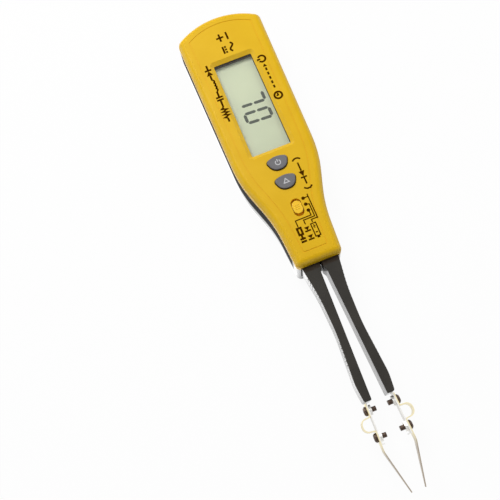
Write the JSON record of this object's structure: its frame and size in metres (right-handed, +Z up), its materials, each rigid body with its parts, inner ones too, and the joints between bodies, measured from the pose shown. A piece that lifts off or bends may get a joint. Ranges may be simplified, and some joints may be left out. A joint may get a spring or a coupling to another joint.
{
  "type": "tweezer component tester",
  "caption": "Hand-held tweezer tester for small surface-mount parts: handle with display, push buttons, slide switch, input jacks and sprung arms with replaceable tips.",
  "frame": {"origin": "middle of the part's box in X and Y, on the flat back that it lies on", "axes": "+X to the right of the display, +Y along the handle towards its tail, +Z up out of the display"},
  "size_m": [0.0416, 0.2281, 0.023],
  "materials": {
    "yellow_plastic": "fine satin, moulded",
    "dark_plastic": "fine texture, moulded",
    "arm_plastic": "polished sides, satin front",
    "black_plastic": "matte",
    "red_plastic": "gloss",
    "grey_plastic": "soft satin",
    "clear_window": "clear, polished",
    "display_glass": "grey-green display",
    "rubber_strip": "matte",
    "board_green": "solder mask",
    "board_tan": "moulded and ceramic parts",
    "bright_steel": "bright",
    "dark_steel": "blackened",
    "tinned_brass": "tinned",
    "brass": "turned",
    "gold_strip": "gold plated"
  },
  "bodies": {
    "housing": {"battery_door": "dark_plastic", "black_jack_collar": "black_plastic", "board_parts": "board_tan", "bottom_shell": "dark_plastic", "buzzer": "black_plastic", "case_screws": "dark_steel", "cell_contacts": "tinned_brass", "cell_holder": "black_plastic", "circuit_board": "board_green", "coin_cell": "bright_steel", "display_window": "clear_window", "door_screw": "dark_steel", "jack_sleeves": "brass", "jack_tags": "tinned_brass", "lcd_bezel": "black_plastic", "lcd_panel": "display_glass", "measuring_chip": "black_plastic", "pivot_pins": "bright_steel", "red_jack_collar": "red_plastic", "spread_spring": "bright_steel", "switch_can": "bright_steel", "tact_switches": "black_plastic", "top_shell": "yellow_plastic", "wiper_contacts": "tinned_brass", "zebra_strips": "rubber_strip"},
    "left_arm": {"left_arm_cover": "arm_plastic", "left_arm_base": "arm_plastic", "left_arm_screw": "dark_steel", "left_contact_blade": "tinned_brass", "left_tip": "gold_strip", "left_tip_screws": "dark_steel", "left_tip_nuts": "bright_steel"},
    "right_arm": {"right_arm_cover": "arm_plastic", "right_arm_base": "arm_plastic", "right_arm_screw": "dark_steel", "right_contact_blade": "tinned_brass", "right_tip": "gold_strip", "right_tip_screws": "dark_steel", "right_tip_nuts": "bright_steel"},
    "upper_button_body": {"upper_button": "grey_plastic", "upper_plunger": "black_plastic"},
    "lower_button_body": {"lower_button": "grey_plastic", "lower_plunger": "black_plastic"},
    "mode_knob_body": {"mode_knob": "yellow_plastic", "switch_lever": "black_plastic"}
  },
  "joints": [
    {"name": "left_arm_squeeze", "type": "hinge", "parent": "housing", "child": "left_arm", "pos_m": [-0.005, -0.01137, 0.0128], "axis": [0, 0, 1], "range_deg": [0, 1.4], "stiffness_Nm_per_rad": 2, "springref_deg": -0.57},
    {"name": "right_arm_squeeze", "type": "hinge", "parent": "housing", "child": "right_arm", "pos_m": [0.005, -0.01137, 0.0128], "axis": [0, 0, -1], "range_deg": [0, 1.4], "stiffness_Nm_per_rad": 2, "springref_deg": -0.57},
    {"name": "upper_button_press", "type": "slide", "parent": "housing", "child": "upper_button_body", "axis": [0, 0, -1], "range_m": [0, 0.0008], "stiffness_N_per_m": 1500, "springref_m": -0.0004},
    {"name": "lower_button_press", "type": "slide", "parent": "housing", "child": "lower_button_body", "axis": [0, 0, -1], "range_m": [0, 0.0008], "stiffness_N_per_m": 1500, "springref_m": -0.0004},
    {"name": "mode_slide", "type": "slide", "parent": "housing", "child": "mode_knob_body", "axis": [0, 1, 0], "range_m": [-0.001, 0.001]}
  ]
}
